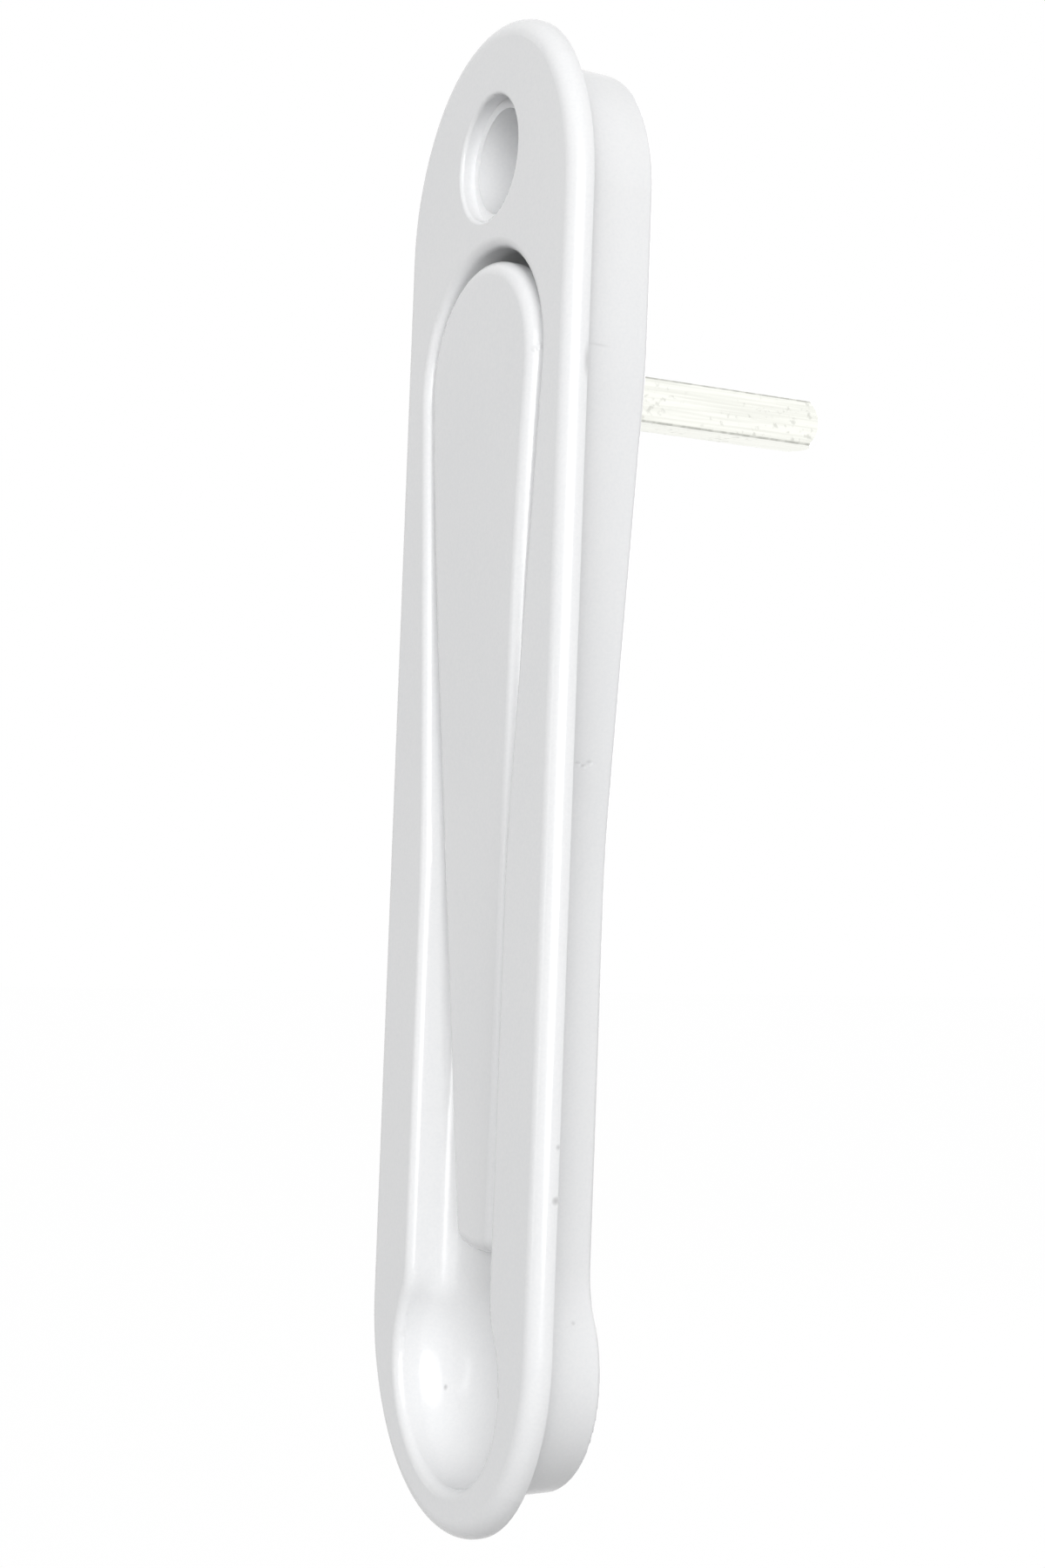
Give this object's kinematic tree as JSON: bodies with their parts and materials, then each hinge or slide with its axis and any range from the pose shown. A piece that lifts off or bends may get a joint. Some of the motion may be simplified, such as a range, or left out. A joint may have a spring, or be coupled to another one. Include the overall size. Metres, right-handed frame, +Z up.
{
  "type": "sliding window handle",
  "caption": "Long flush handle for a sliding window: round-ended plate, sprung lever over a finger bowl, rear tub and a square drive bar behind.",
  "frame": {"origin": "middle of the face plate on its back face, where the plate lies on the sash", "axes": "+Z up along the handle, +Y into the sash along the drive bar, X across"},
  "size_m": [0.0466, 0.051, 0.19],
  "materials": {
    "white_paint": "smooth gloss white stoved paint over a die casting",
    "plated_bar": "bright zinc-plated drawn square steel with fine drawing lines",
    "steel_pin": "plain ground steel",
    "spring_steel": "drawn spring wire",
    "nylon": "natural nylon"
  },
  "bodies": {
    "casing": {"body": "white_paint", "pivot_pin": "steel_pin", "washer_left": "nylon", "washer_right": "nylon", "return_spring": "spring_steel"},
    "lever_arm": {"lever": "white_paint", "drive_bar": "plated_bar"}
  },
  "joints": [
    {"name": "lever_lift", "type": "hinge", "parent": "casing", "child": "lever_arm", "pos_m": [0, 0.0034, 0.0493], "axis": [-1, 0, 0], "range_deg": [0, 25], "stiffness_Nm_per_rad": 0.5, "springref_deg": -22.92, "deforming": ["return_spring"]}
  ]
}
